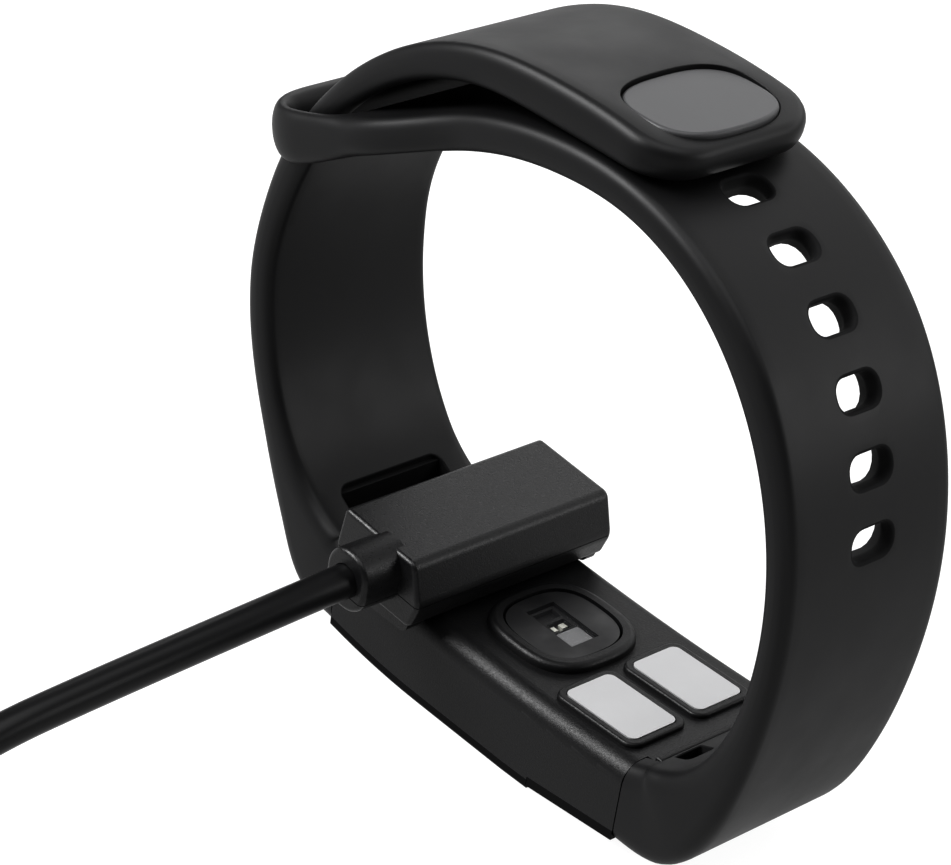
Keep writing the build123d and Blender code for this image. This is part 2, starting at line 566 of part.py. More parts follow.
def clip_parts():
    body = clip_envelope()
    body -= box((-15.0, -7.7), (CLIP_MIN_Y + CLIP_WALL, CLIP_MAX_Y - CLIP_WALL), (9.75, 14.1))
    body -= rod((CABLE_X, 0, CABLE_Z), CABLE_DIAMETER / 2 + 0.02, BOSS_END_Y - 1, CLIP_MIN_Y + 2, "y")
    body -= box((-13.4, -9.4), (-5.4, 5.4), (8, 10))
    upper = body - below_parting(0.0)
    lower = body & below_parting(0.08)
    middle = (CLIP_MAX_Y + CLIP_MIN_Y) / 2
    for side in (-1, 1):
        lip = box((-15.1, -6.95), tuple(sorted((side * (BAND_WIDTH / 2 + 0.35), middle + side * 10.8))),
                  (CLIP_LIP_LOW, 9.5))
        lower += smooth_edges(lip, lip.edges().filter_by(Axis.Y).group_by(Axis.Z)[0], 0.9)

    board = box((-14.8, -7.9), (-9.6, 8.8), (12.2, 13.0))
    block = box((-14.2, -8.6), (-5.9, 5.9), (9.8, 12.15)) + box((-13.3, -9.5), (-5.3, 5.3), (8.95, 9.9))
    pins = []
    contact_top = rear_height(CLIP_X) - 0.02
    for y in pin_stations():
        block -= rod((CLIP_X, y, 0), PIN_RADIUS + 0.05, 8.5, 11.9, "z")
        block -= rod((CLIP_X, y, 0), PIN_RADIUS + 0.3, 9.9, 11.9, "z")
        pin = rod((CLIP_X, y, 0), PIN_RADIUS, contact_top + 0.06, 11.0, "z")
        pins.append(pin + rod((CLIP_X, y, 0), PIN_RADIUS + 0.2, 9.95, 10.35, "z"))
    magnets = [rod((CLIP_X, y, 0), 1.7, 9.8, 11.8, "z") for y in (-7.9, 7.8)]
    gland = box((-12.3, -7.7), (-10.6, -9.7), (10.6, 12.1)) + box((-12.3, -11.6), (-10.6, -9.7), (10.6, 13.9))
    write("clip_upper_shell", upper)
    write("clip_lower_shell", lower)
    write("clip_board", board)
    write("pin_block", block)
    write("contact_pins", *pins)
    write("clip_magnets", *magnets)
    write("cable_anchor", gland)


# ---- cable --------------------------------------------------------------------------------------
def route_radii(points):
    """The largest bend that fits at each inner point of a route."""
    radii = []
    for before, here, after in zip(points, points[1:], points[2:]):
        run_in, run_out = Vector(*here) - Vector(*before), Vector(*after) - Vector(*here)
        turn = radians(run_in.get_angle(run_out))
        radii.append(0.45 * min(run_in.length, run_out.length) / tan(turn / 2))
    return radii


def cable_tube(name, points):
    radii = route_radii(points)
    path = FilletPolyline(*points, radius=radii)
    start = Plane(origin=path @ 0, z_dir=path % 0)
    tube = sweep(start * Circle(CABLE_DIAMETER / 2), path=path)
    expected = pi * CABLE_DIAMETER ** 2 / 4 * path.length
    print(name, "length", round(path.length, 1), "radii", [round(r) for r in radii],
          "volume", round(tube.volume, 1), "of", round(expected, 1))
    return tube


def coil_solid():
    """The outer shape of the wound cable, with a notch where each end leaves it."""
    inner = COIL_TURN_RADII[0] - CABLE_DIAMETER / 2
    outer = COIL_TURN_RADII[-1] + CABLE_DIAMETER / 2
    height = CABLE_DIAMETER + (COIL_LAYERS - 1) * COIL_LAYER_PITCH
    x, y = COIL_CENTRE
    coil = Pos(x, y, height / 2) * (Cylinder(outer, height) - Cylinder(inner, height))
    coil = fillet(coil.edges().filter_by(GeomType.CIRCLE), 1.2)
    reach = CABLE_DIAMETER / 2 + 0.2
    turn = COIL_TURN_RADII[-1]
    coil -= box((x - turn - 3, x - turn + reach), (y, y + 30), (-1, CABLE_DIAMETER + 0.1))
    coil -= box((x + turn - reach, x + turn + 3), (y, y + 30), (height - CABLE_DIAMETER - 0.1, height + 1))
    return coil


def plug_parts():
    """The plug, lying flat, on the last direction of the cable's tail."""
    before, end = Vector(*CABLE_TAIL[-2]), Vector(*CABLE_TAIL[-1])
    along = Vector(end.X - before.X, end.Y - before.Y, 0)
    sideways = Vector(along.Y, -along.X, 0)
    start = Plane(origin=end, x_dir=sideways, z_dir=along)
    relief_length = 8.0
    body_length = PLUG_BODY[2]
    relief = loft([start * Circle(CABLE_DIAMETER / 2 + 0.5), start.offset(relief_length) * Circle(3.1)])
    body = extrude(start.offset(relief_length) * RectangleRounded(PLUG_BODY[0], PLUG_BODY[1], 2.0),
                   amount=body_length)
    body = smooth_edges(body, body.faces().sort_by(Axis.Y)[0].edges(), 0.8)
    face = start.offset(relief_length + body_length)
    shell_bar = extrude(face.offset(-3) * RectangleRounded(PLUG_SHELL[0], PLUG_SHELL[1], 0.5),
                        amount=PLUG_SHELL[2] + 3)
    hollow = extrude(face.offset(-2.6) * Rectangle(PLUG_SHELL[0] - 0.7, PLUG_SHELL[1] - 0.7),
                     amount=PLUG_SHELL[2] + 3)
    for offset in (-2.9, 2.9):
        window = Plane(origin=face.offset(5.5).origin, x_dir=start.x_dir, z_dir=(0, 0, 1))
        hollow += extrude(window * Pos(offset, 0, 0) * Rectangle(2.2, 2.4), amount=4, both=True)
    tongue_height = 1.75
    tongue = extrude(face.offset(-2.5) * Pos(0, PLUG_SHELL[1] / 2 - 0.4 - tongue_height / 2) *
                     Rectangle(11.1, tongue_height), amount=PLUG_SHELL[2] + 2)
    contacts = []
    for index in range(4):
        lane = (index - 1.5) * 2.3
        contacts.append(extrude(face.offset(1.0) * Pos(lane, PLUG_SHELL[1] / 2 - 0.46 - tongue_height) *
                                Rectangle(1.1, 0.1), amount=PLUG_SHELL[2] - 3))
    body -= shell_bar
    write("plug_body", body + relief)
    write("plug_shell", shell_bar - hollow)
    write("plug_tongue", tongue)
    write("plug_contacts", *contacts)


def main():
    os.makedirs("parts", exist_ok=True)
    module_parts()
    inner_parts()
    strap_parts()
    release_bar("left", MODULE_LEFT, 1)
    release_bar("right", MODULE_RIGHT, -1)
    clip_parts()
    write("cable_run", cable_tube("run", CABLE_ROUTE))
    write("cable_coil", coil_solid())
    write("cable_tail", cable_tube("tail", CABLE_TAIL))
    plug_parts()


main()
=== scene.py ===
"""Looks of the fitness tracker band and its clip-on charger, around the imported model.

Lengths are in millimetres in the outlines and routes, and MM turns them into metres.
"""
import bpy
import bmesh
import json
import numpy as np
from math import copysign, cos, pi, radians, sin
from mathutils import Matrix, Vector
from mathutils.geometry import delaunay_2d_cdt


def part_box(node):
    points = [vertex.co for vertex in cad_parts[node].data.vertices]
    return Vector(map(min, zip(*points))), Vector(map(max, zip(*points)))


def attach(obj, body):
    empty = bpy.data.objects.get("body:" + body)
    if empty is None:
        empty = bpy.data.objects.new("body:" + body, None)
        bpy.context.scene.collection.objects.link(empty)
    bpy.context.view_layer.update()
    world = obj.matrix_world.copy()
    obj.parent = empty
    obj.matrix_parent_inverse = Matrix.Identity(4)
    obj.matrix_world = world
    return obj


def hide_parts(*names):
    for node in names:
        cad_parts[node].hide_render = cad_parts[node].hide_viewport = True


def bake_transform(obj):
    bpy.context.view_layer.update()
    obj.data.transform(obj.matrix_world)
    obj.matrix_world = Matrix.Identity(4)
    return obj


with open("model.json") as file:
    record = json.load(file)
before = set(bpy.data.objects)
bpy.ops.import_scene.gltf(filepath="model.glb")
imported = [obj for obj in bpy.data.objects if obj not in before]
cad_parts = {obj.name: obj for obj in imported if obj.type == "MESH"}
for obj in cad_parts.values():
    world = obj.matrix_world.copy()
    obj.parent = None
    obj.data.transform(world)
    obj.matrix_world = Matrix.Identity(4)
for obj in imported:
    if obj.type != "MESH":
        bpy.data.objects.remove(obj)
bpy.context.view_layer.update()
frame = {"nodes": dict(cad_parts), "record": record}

MM = 0.001
NODES = frame["nodes"]

# ---- driving dimensions ---------------------------------------------------------------------------
# The CAD model's, drawn finer where the skins differ from it: ring, tail, slots, pockets and cable run.
HOLE_STRAP_OUTER = [
    (17.05, 1.35), (21.6, 1.95), (24.95, 5.15), (27.6, 11.5), (29.4, 21.0), (29.4, 31.0), (27.15, 40.1),
    (22.6, 47.75), (15.4, 53.3), (6.0, 56.1), (-2.0, 55.9), (-10.4, 53.8), (-18.0, 50.3), (-25.0, 47.3),
    (-30.2, 45.5), (-33.4, 44.75), (-36.4, 44.3),
]
HOLE_STRAP_INNER = [
    (17.05, 8.98), (21.6, 11.1), (25.3, 16.0), (27.15, 24.0), (26.45, 33.0), (23.3, 41.2), (18.0, 47.9),
    (11.4, 52.1), (5.8, 53.5), (0.0, 53.4), (-7.0, 52.0), (-15.0, 48.7), (-24.0, 44.05), (-29.6, 41.25),
    (-33.2, 40.9), (-36.4, 41.0),
]
PEG_STRAP_OUTER = [
    (-18.55, 0.97), (-23.6, 2.4), (-26.2, 6.0), (-30.4, 14.7), (-33.6, 23.4), (-34.2, 32.6),
    (-32.0, 41.2), (-27.7, 48.1), (-21.8, 53.95), (-11.0, 59.15), (-3.2, 60.05), (3.4, 60.0),
    (8.2, 59.45), (12.5, 58.6),
]
PEG_STRAP_INNER = [
    (-18.55, 9.05), (-22.6, 10.9), (-27.9, 16.6), (-31.0, 24.4), (-31.6, 32.4), (-29.3, 40.3),
    (-25.6, 46.8), (-19.9, 52.2), (-11.0, 56.05), (-4.0, 56.6), (2.0, 56.7), (8.2, 56.7), (12.5, 56.5),
]
STRAP_HALF_WIDTH = 9.0
SWELL = 0.12                         # the soft skins stand this much proud of their outlines
SWELL_FULL_U = 10                    # the swell grows from the module to here
RING_HALF_WIDTH = 10.8
RING_END_X = -35.4
RING_OPENING_X = (-32.45, -24.6)
RING_OPENING_HALF = 8.85
RING_CORNER = 6.3
RING_OPENING_CORNER = 2.0
FLARE_X = (-11.5, -23.0)             # where the strap begins and ends its flare into the ring
PEG_STRAP_HALF_WIDTH = 8.65
NARROWING_U = (33, 43)               # the peg strap narrows to that between these
UNDERSIDE_Z = 44.5                   # from here on the peg strap's inner face takes the painted-shade silicone, for the shade under the tail
TAIL_TIP_X = 10.3
TAIL_CORNER = 4.6
FIRST_SLOT, SLOT_PITCH, SLOT_COUNT = 39.2, 5.9, 10
SLOT_HALF_LENGTH, SLOT_HALF_WIDTH = 2.15, 1.3
SLOT_CORNER = 1.1
CAP_HALF_SIZE = (4.65, 6.2)
SQUIRCLE_POWER = 2.8                 # of the cap's outline, between an ellipse and a rectangle
SEAT_GAP, SEAT_RIM = 0.08, 0.08      # round the cap, and the rounding of the seat's edge
SEAT_FLOOR_W = 0.66
POCKET_HALF_WIDTH, POCKET_CORNER, POCKET_RIM = 5.7, 1.0, 0.2
POCKET_FLOOR_Z = 4.6
OPEN_POCKET_X, LEDGE_X, LEDGE_Z = -22.8, -23.1, 10.9
COVERED_POCKET_X, TONGUE_ROOM_HALF, TONGUE_ROOM_CORNER = 18.65, 6.55, 0.3
LEVER_SLOT_X, LEVER_SLOT_Y, LEVER_SLOT_CORNER = (18.85, 20.35), (-5.4, -2.5), 0.5
SHARP_RIM = 0.12                     # the rounding at the mouths that the module covers
STRAP_ROOT_U = -8.0                  # the skins start inside the module's place and are cut at its end
POCKET_ROOT_U = -5.0                 # the pockets start a little later
ROOT_CLEARANCE = 0.06                # between the module's end and the skin's
PAST_BEND_U = 60                     # the upper half of either strap lies beyond this u
SKIN_SPACING, FINE_SPACING = 0.7, 0.3    # between the vertices of the skins and round small openings
OPENING_SPACING, SEAT_SPACING, SEAT_FLOOR_SPACING = 0.5, 0.35, 0.9
CABLE_DIAMETER = 3.0

CABLE_ROUTE = [
    (-10.65, -13.0, 12.6), (-10.65, -16.5, 12.55), (-10.65, -24.0, 12.15), (-10.65, -32.0, 11.7),
    (-10.65, -41.0, 11.15), (-10.65, -50.0, 10.45), (-10.85, -57.0, 8.2), (-11.3, -65.0, 4.2),
    (-11.9, -73.0, 1.9), (-12.3, -80.0, 1.5), (-12.6, -88.5, 1.5), (-12.6, -97.0, 1.5),
]
CABLE_TAIL = [(29.4, -97.0, 4.55), (29.4, -90.0, 4.55), (31.2, -82.0, 3.85)]
COIL_CENTRE = (8.4, -97.0)
COIL_TURNS = (21.0, 17.95, 14.9, 11.85, 14.9, 17.95, 21.0)      # radii, the last one half a turn
COIL_LAYER_Z = (1.5, 4.55)
COIL_RISE = (3.6, 3.82)                # the coil climbs to its upper layer between these turns

# ---- edges of the soft skins ----------------------------------------------------------------------
EDGE_POWER, BAR_POWER = 2.3, 2.0       # of the rounding's superellipse, on the straps and on round bars
THIN, THICK = 3.8, 6.8                 # thicknesses at which the edge is fully thin or thick
THIN_REACH, THICK_REACH = 1.0, 1.5     # how far in from the side the rounding starts
OUTER_RISE, INNER_RISE = 1.7, 2.2      # how far down from each face it goes
RING_EDGE_REACH, RING_HOLE_REACH = 1.4, 1.3
RING_EXTRA_RISE = 0.5
RING_FAR, RING_NEAR = 6.0, 3.0         # from the ring's opening: its bars become round between these
BAR_SHARE = 0.43                       # the most that one rounding takes of a bar's width
LEAST_WALL = 0.04                      # half the upright wall that stays between two roundings
SLOT_BEVEL = (0.3, 0.35)               # reach and rise
SLOT_FLARE, SLOT_END_FLARE = 0.75, 0.6   # at the inner face, and what its ends have more of it
FLARE_TOP_W = 0.64
QUARTER_TURN = [k * pi / 2 / 6 for k in range(7)]

# ---- camera ---------------------------------------------------------------------------------------
CAMERA_AZIMUTH, CAMERA_ELEVATION, CAMERA_ROLL = 43.949, 31.18, 8.848
CAMERA_TARGET = Vector((2.495, -16.531, 34.53)) * MM
CAMERA_DISTANCE = 255.46 * MM
CAMERA_LENS = 126.94


def add_camera():
    """The photograph's view: azimuth from -Y towards +X, and the camera turned about its own axis."""
    azimuth, elevation, roll = (radians(v) for v in (CAMERA_AZIMUTH, CAMERA_ELEVATION, CAMERA_ROLL))
    back = Vector((sin(azimuth) * cos(elevation), -cos(azimuth) * cos(elevation), sin(elevation)))
    right = Vector((cos(azimuth), sin(azimuth), 0))
    up = back.cross(right)
    rolled_right = right * cos(roll) + up * sin(roll)
    rolled_up = up * cos(roll) - right * sin(roll)
    data = bpy.data.cameras.new("photo_camera")
    data.lens = CAMERA_LENS
    data.sensor_width = 36
    data.clip_start = 0.01
    data.clip_end = 5
    camera = bpy.data.objects.new("photo_camera", data)
    rotation = Matrix((rolled_right, rolled_up, back)).transposed().to_4x4()
    camera.matrix_world = Matrix.Translation(CAMERA_TARGET + back * CAMERA_DISTANCE) @ rotation
    bpy.context.scene.collection.objects.link(camera)
    bpy.context.scene.camera = camera


# ---- materials ------------------------------------------------------------------------------------
BLACK = (0.004, 0.004, 0.0043)
FINE_GRAIN = 6000                      # noise scale, in waves a metre


def new_material(name, color, roughness, metallic=0.0, specular=0.5):
    material = bpy.data.materials.new(name)
    material.use_nodes = True
    shader = material.node_tree.nodes["Principled BSDF"]
    shader.inputs["Base Color"].default_value = (*color, 1)
    shader.inputs["Roughness"].default_value = roughness
    shader.inputs["Metallic"].default_value = metallic
    shader.inputs["Specular IOR Level"].default_value = specular
    return material, material.node_tree, shader


def object_noise(tree, scale, detail=3.0, roughness=0.55):
    """Noise in the object's own space, which is the row frame in metres."""
    place = tree.nodes.new("ShaderNodeTexCoord")
    noise = tree.nodes.new("ShaderNodeTexNoise")
    noise.inputs["Scale"].default_value = scale
    noise.inputs["Detail"].default_value = detail
    noise.inputs["Roughness"].default_value = roughness
    tree.links.new(place.outputs["Object"], noise.inputs["Vector"])
    return noise.outputs["Fac"]


def ramp(tree, fac, low, high, low_at=0.3, high_at=0.7):
    """A value that follows fac from low to high."""
    node = tree.nodes.new("ShaderNodeMapRange")
    node.inputs["From Min"].default_value = low_at
    node.inputs["From Max"].default_value = high_at
    node.inputs["To Min"].default_value = low
    node.inputs["To Max"].default_value = high
    tree.links.new(fac, node.inputs["Value"])
    return node.outputs["Result"]


def vary_color(tree, shader, fac, dark, light):
    """A base colour between two near ones."""
    node = tree.nodes.new("ShaderNodeMix")
    node.data_type = "RGBA"
    node.inputs["A"].default_value = (*dark, 1)
    node.inputs["B"].default_value = (*light, 1)
    tree.links.new(fac, node.inputs["Factor"])
    tree.links.new(node.outputs["Result"], shader.inputs["Base Color"])


def add_bump(tree, shader, height, strength, distance):
    """Fine relief from a height value; the distance is in metres."""
    node = tree.nodes.new("ShaderNodeBump")
    node.inputs["Strength"].default_value = strength
    node.inputs["Distance"].default_value = distance
    tree.links.new(height, node.inputs["Height"])
    tree.links.new(node.outputs["Normal"], shader.inputs["Normal"])


def silicone():
    """Matt black strap: very fine tooth, a faint bloom, slightly uneven gloss."""
    material, tree, shader = new_material("strap_silicone", (0.02, 0.02, 0.021), 0.5, specular=0.22)
    cloud = object_noise(tree, 140, 4)
    vary_color(tree, shader, cloud, BLACK, (0.006, 0.006, 0.0064))
    tree.links.new(ramp(tree, cloud, 0.42, 0.5), shader.inputs["Roughness"])
    add_bump(tree, shader, object_noise(tree, 7000, 2), 0.12, 0.00003)
    return material


def spark_plastic(name, color, roughness, scale, strength, specular=0.22):
    """Moulded plastic with a fine spark-eroded texture."""
    material, tree, shader = new_material(name, color, roughness, specular=specular)
    grain = object_noise(tree, scale, 5, 0.65)
    cloud = object_noise(tree, 220, 3)
    light = tuple(v * 1.35 for v in color)
    vary_color(tree, shader, cloud, color, light)
    tree.links.new(ramp(tree, grain, roughness - 0.1, roughness + 0.12), shader.inputs["Roughness"])
    add_bump(tree, shader, grain, strength, 0.00006)
    return material


def gloss_plastic(name, color, roughness=0.08, specular=0.5):
    """Polished plastic, glass or film, with a slightly uneven gloss."""
    material, tree, shader = new_material(name, color, roughness, specular=specular)
    cloud = object_noise(tree, 300, 3)
    tree.links.new(ramp(tree, cloud, roughness * 0.8, roughness * 1.5), shader.inputs["Roughness"])
    vary_color(tree, shader, cloud, color, tuple(v * 1.2 for v in color))
    return material


def satin_metal(name, color, roughness, grain_scale=2500, stretch=(1, 12, 1)):
    """Brushed or blasted metal, with grain drawn out along one axis."""
    material, tree, shader = new_material(name, color, roughness, metallic=1.0)
    place = tree.nodes.new("ShaderNodeTexCoord")
    mapping = tree.nodes.new("ShaderNodeMapping")
    mapping.inputs["Scale"].default_value = stretch
    noise = tree.nodes.new("ShaderNodeTexNoise")
    noise.inputs["Scale"].default_value = grain_scale
    noise.inputs["Detail"].default_value = 4
    tree.links.new(place.outputs["Object"], mapping.inputs["Vector"])
    tree.links.new(mapping.outputs["Vector"], noise.inputs["Vector"])
    fac = noise.outputs["Fac"]
    tree.links.new(ramp(tree, fac, roughness - 0.06, roughness + 0.1), shader.inputs["Roughness"])
    vary_color(tree, shader, fac, tuple(v * 0.9 for v in color), color)
    add_bump(tree, shader, fac, 0.08, 0.00002)
    return material


def satin_paint(name, color, roughness, specular=0.5):
    """An even, softly shining surface with a very fine grain."""
    material, tree, shader = new_material(name, color, roughness, specular=specular)
    grain = object_noise(tree, FINE_GRAIN, 3)
    vary_color(tree, shader, object_noise(tree, 160, 3), color, tuple(v * 1.15 for v in color))
    add_bump(tree, shader, grain, 0.1, 0.00003)
    return material


def clear_cover():
    """The sensor's window: almost clear, with a faint reflection."""
    material, tree, shader = new_material("clear_cover", (0.05, 0.05, 0.055), 0.1, specular=0.1)
    shader.inputs["Alpha"].default_value = 0.06
    add_bump(tree, shader, object_noise(tree, 400, 2), 0.05, 0.00005)
    return material


def make_materials():
    steel = satin_metal("satin_steel", (0.62, 0.62, 0.64), 0.3)
    return {
        "strap": silicone(),
        # painted shade: a duller, low-gloss copy of the silicone that darkens recess walls, slot walls and
        # the tail's underside
        "strap_painted_shade": satin_paint("painted_shade_silicone", (0.007, 0.007, 0.0073), 0.75, 0.1),
        "case": spark_plastic("case_plastic", BLACK, 0.4, FINE_GRAIN, 0.4),
        "lens": gloss_plastic("lens_gloss", (0.001, 0.001, 0.0012), 0.12, 0.06),
        "key": gloss_plastic("key_gloss", (0.009, 0.009, 0.01), 0.16),
        "sensor_ring": spark_plastic("ring_plastic", BLACK, 0.4, FINE_GRAIN, 0.35),
        "sensor_window": gloss_plastic("window_satin", (0.005, 0.005, 0.0055), 0.36, 0.3),
        "sensor_cover": clear_cover(),
        "sensor_light": gloss_plastic("light_resin", (0.3, 0.3, 0.27), 0.2),
        "photodiode": satin_paint("photodiode_grey", (0.12, 0.12, 0.122), 0.5, 0.1),
        "electrode": satin_paint("electrode_satin", (0.22, 0.22, 0.223), 0.35, 0.4),
        "gold": satin_metal("gold_flash", (0.85, 0.62, 0.26), 0.25),
        "cap": satin_paint("cap_grey", (0.036, 0.036, 0.0375), 0.45, 0.3),
        "steel": steel,
        "clip": spark_plastic("clip_plastic", BLACK, 0.34, FINE_GRAIN, 0.4, 0.3),
        "jacket": satin_paint("cable_jacket", BLACK, 0.36, 0.2),
        "plug": spark_plastic("plug_plastic", (0.01, 0.01, 0.0105), 0.45, 5000, 0.5),
        "white_plastic": satin_paint("tongue_white", (0.75, 0.75, 0.73), 0.4),
        "board": gloss_plastic("board_mask", (0.01, 0.07, 0.035), 0.35),
        "battery": satin_metal("pouch_foil", (0.55, 0.56, 0.58), 0.4),
        "panel": gloss_plastic("panel_glass", (0.01, 0.01, 0.014), 0.1),
        "magnet": satin_metal("nickel", (0.7, 0.7, 0.7), 0.18),
        "film": gloss_plastic("polyimide", (0.3, 0.13, 0.03), 0.3),
        "seal": satin_paint("seal_black", (0.01, 0.01, 0.01), 0.6, 0.2),
    }


def dress_nodes(materials):
    """Gives every CAD node the material of its slot in the record."""
    for part in frame["record"]["subparts"]:
        node = NODES[part["node"]]
        node.data.materials.clear()
        node.data.materials.append(materials[part["material_slot"]])


def eased(value, start, end):
    """0 at start, 1 at end, with a smooth way between them."""
    share = min(1.0, max(0.0, (value - start) / (end - start)))
    return share * share * (3 - 2 * share)


# ---- straps ---------------------------------------------------------------------------------------
def smooth_line(points, step=0.1):
    """A natural cubic spline through the points, sampled about every step millimetres."""
    points = np.array(points, float)
    knots = np.concatenate([[0], np.cumsum(np.linalg.norm(np.diff(points, axis=0), axis=1))])
    gaps = np.diff(knots)
    count = len(points)
    matrix, right = np.eye(count), np.zeros((count, 2))
    for i in range(1, count - 1):
        matrix[i, i - 1], matrix[i, i + 1] = gaps[i - 1], gaps[i]
        matrix[i, i] = 2 * (gaps[i - 1] + gaps[i])
        slopes = (points[i + 1] - points[i]) / gaps[i] - (points[i] - points[i - 1]) / gaps[i - 1]
        right[i] = 6 * slopes
    bend = np.linalg.solve(matrix, right)
    at = np.linspace(0, knots[-1], int(knots[-1] / step) + 2)
    i = np.clip(np.searchsorted(knots, at, side="right") - 1, 0, count - 2)
    h = gaps[i][:, None]
    a, b = (knots[i + 1] - at)[:, None], (at - knots[i])[:, None]
    return (bend[i] * a ** 3 + bend[i + 1] * b ** 3) / (6 * h) \
        + (points[i] / h - bend[i] * h / 6) * a + (points[i + 1] / h - bend[i + 1] * h / 6) * b


class StrapSpace:
    """Strap coordinates: u along the outer face, v across the strap, w from inner (0) to outer (1)."""

    def __init__(self, outer, inner, lead=9.0, inner_side=1):
        outer, inner = smooth_line(outer), smooth_line(inner)
        outer = self.extended(outer, lead)
        inner = self.extended(inner, 2 * lead)
        steps = np.linalg.norm(np.diff(outer, axis=0), axis=1)
        self.u = np.concatenate([[0], np.cumsum(steps)]) - lead
        tangents = np.gradient(outer, axis=0)
        tangents /= np.linalg.norm(tangents, axis=1)[:, None]
        met = np.array([self.opposite(o, t, inner, inner_side) for o, t in zip(outer, tangents)])
        facing = self.on_line(inner, self.evened(met))
        apart = outer - facing
        apart /= np.linalg.norm(apart, axis=1)[:, None]
        swell = SWELL * np.clip(self.u / SWELL_FULL_U, 0, 1)[:, None]
        self.outer, self.inner = outer + apart * swell, facing - apart * swell

    @staticmethod
    def on_line(line, places):
        """The points at fractional places along a line."""
        return np.column_stack([np.interp(places, np.arange(len(line)), line[:, k]) for k in (0, 1)])

    @staticmethod
    def evened(met, reach=45):
        """The same places along the inner line, made to run one way only, without jumps."""
        run = np.maximum.accumulate(met)
        window = np.hanning(2 * reach + 3)[1:-1]
        padded = np.concatenate([2 * run[0] - run[reach:0:-1], run, 2 * run[-1] - run[-2:-reach - 2:-1]])
        return np.convolve(padded, window / window.sum(), "valid")

    @staticmethod
    def extended(line, lead, step=0.1):
        """The same line, begun a little earlier along its first direction."""
        first = line[0] - line[1]
        first /= np.linalg.norm(first)
        extra = np.array([line[0] + first * d for d in np.arange(lead, 0, -step)])
        return np.vstack([extra, line])

    @staticmethod
    def opposite(point, tangent, inner, side, nearest=0.3, farthest=14):
        """Where along the inner line the normal from an outer point meets it."""
        normal = np.array((-tangent[1], tangent[0])) * side
        offset = inner - point
        along, depth = offset @ tangent, offset @ normal
        within = (depth[:-1] > nearest) & (depth[:-1] < farthest)
        cross = np.where((along[:-1] * along[1:] <= 0) & within)[0]
        if not len(cross):
            wrong_side = 100 * (depth <= 0)
            return float(np.argmin(np.abs(along) + wrong_side))
        i = cross[np.argmin(depth[cross])]
        return i + along[i] / (along[i] - along[i + 1] + 1e-12)

    def at(self, u):
        """The outer and the inner point at u."""
        index = np.interp(u, self.u, np.arange(len(self.u)))
        i = int(min(index, len(self.u) - 2))
        share = index - i
        outer = self.outer[i] * (1 - share) + self.outer[i + 1] * share
        inner = self.inner[i] * (1 - share) + self.inner[i + 1] * share
        return outer, inner

    def thickness(self, u):
        outer, inner = self.at(u)
        return float(np.linalg.norm(outer - inner))

    def place(self, u, v, w):
        outer, inner = self.at(u)
        x, z = inner + (outer - inner) * w
        return Vector((x, v, z)) * MM

    def u_of_inner_x(self, x, beyond_u=0.5):
        """The first u where the inner face passes x."""
        beyond = np.where(self.u > beyond_u)[0]
        past = beyond[np.argmax(np.abs(self.inner[beyond, 0]) > abs(x))]
        return float(self.u[past])

    def u_of_x(self, x):
        """The u in the strap's upper half where the outer face is nearest to x."""
        later = np.where(self.u > PAST_BEND_U)[0]
        return float(self.u[later[np.argmin(np.abs(self.outer[later, 0] - x))]])


def resample(loop, spacing):
    """A closed loop of (u, v), as evenly spaced points."""
    loop = np.array(list(loop) + [loop[0]], float)
    lengths = np.concatenate([[0], np.cumsum(np.linalg.norm(np.diff(loop, axis=0), axis=1))])
    count = max(12, int(lengths[-1] / spacing))
    at = np.linspace(0, lengths[-1], count, endpoint=False)
    return np.column_stack([np.interp(at, lengths, loop[:, k]) for k in (0, 1)])


def rounded_rectangle(centre, half_u, half_v, radius, steps=6):
    """A counterclockwise loop of (u, v), with the same number of steps at each corner."""
    points = []
    for su, sv, start in ((1, 1, 0), (-1, 1, 90), (-1, -1, 180), (1, -1, 270)):
        for k in range(steps + 1):
            turn = radians(start + 90 * k / steps)
            points.append((centre[0] + su * (half_u - radius) + radius * cos(turn),
                           centre[1] + sv * (half_v - radius) + radius * sin(turn)))
    return points


def rectangle_between(us, vs, radius, steps=6):
    """A rounded rectangle from the first to the second u and v."""
    centre = (sum(us) / 2, sum(vs) / 2)
    return rounded_rectangle(centre, (us[1] - us[0]) / 2, (vs[1] - vs[0]) / 2, radius, steps)


def squircle(centre, half_u, half_v, power=SQUIRCLE_POWER, steps=96):
    """A counterclockwise superellipse in (u, v)."""
    points = []
    for k in range(steps):
        turn = 2 * pi * k / steps
        points.append((centre[0] + half_u * copysign(abs(cos(turn)) ** (2 / power), cos(turn)),
                       centre[1] + half_v * copysign(abs(sin(turn)) ** (2 / power), sin(turn))))
    return points


def tip_corner(end, half, radius, steps=12):
    """The corner from a strap's lower side, at -half, round to its tip at u = end."""
    turns = [radians(-90 + 90 * k / steps) for k in range(steps + 1)]
    return [(end - radius + radius * cos(turn), -half + radius + radius * sin(turn)) for turn in turns]


def with_mirror(lower):
    """A whole outline from its lower half."""
    return lower + [(u, -v) for u, v in reversed(lower)]


def loop_normals(loop):
    """Unit normals that point to the left of travel, so into a counterclockwise loop."""
    ahead, behind = np.roll(loop, -1, axis=0), np.roll(loop, 1, axis=0)
    tangent = ahead - behind
    tangent /= np.linalg.norm(tangent, axis=1)[:, None]
    return np.column_stack([-tangent[:, 1], tangent[:, 0]])


def inside(points, loop):
    """Which points lie inside a closed loop."""
    x, y = points[:, 0][:, None], points[:, 1][:, None]
    x0, y0 = loop[:, 0], loop[:, 1]
    x1, y1 = np.roll(x0, -1), np.roll(y0, -1)
    crosses = (y0 > y) != (y1 > y)
    with np.errstate(divide="ignore", invalid="ignore"):
        at = x0 + (y - y0) * (x1 - x0) / (y1 - y0)
    return (np.count_nonzero(crosses & (x < at), axis=1) % 2) == 1


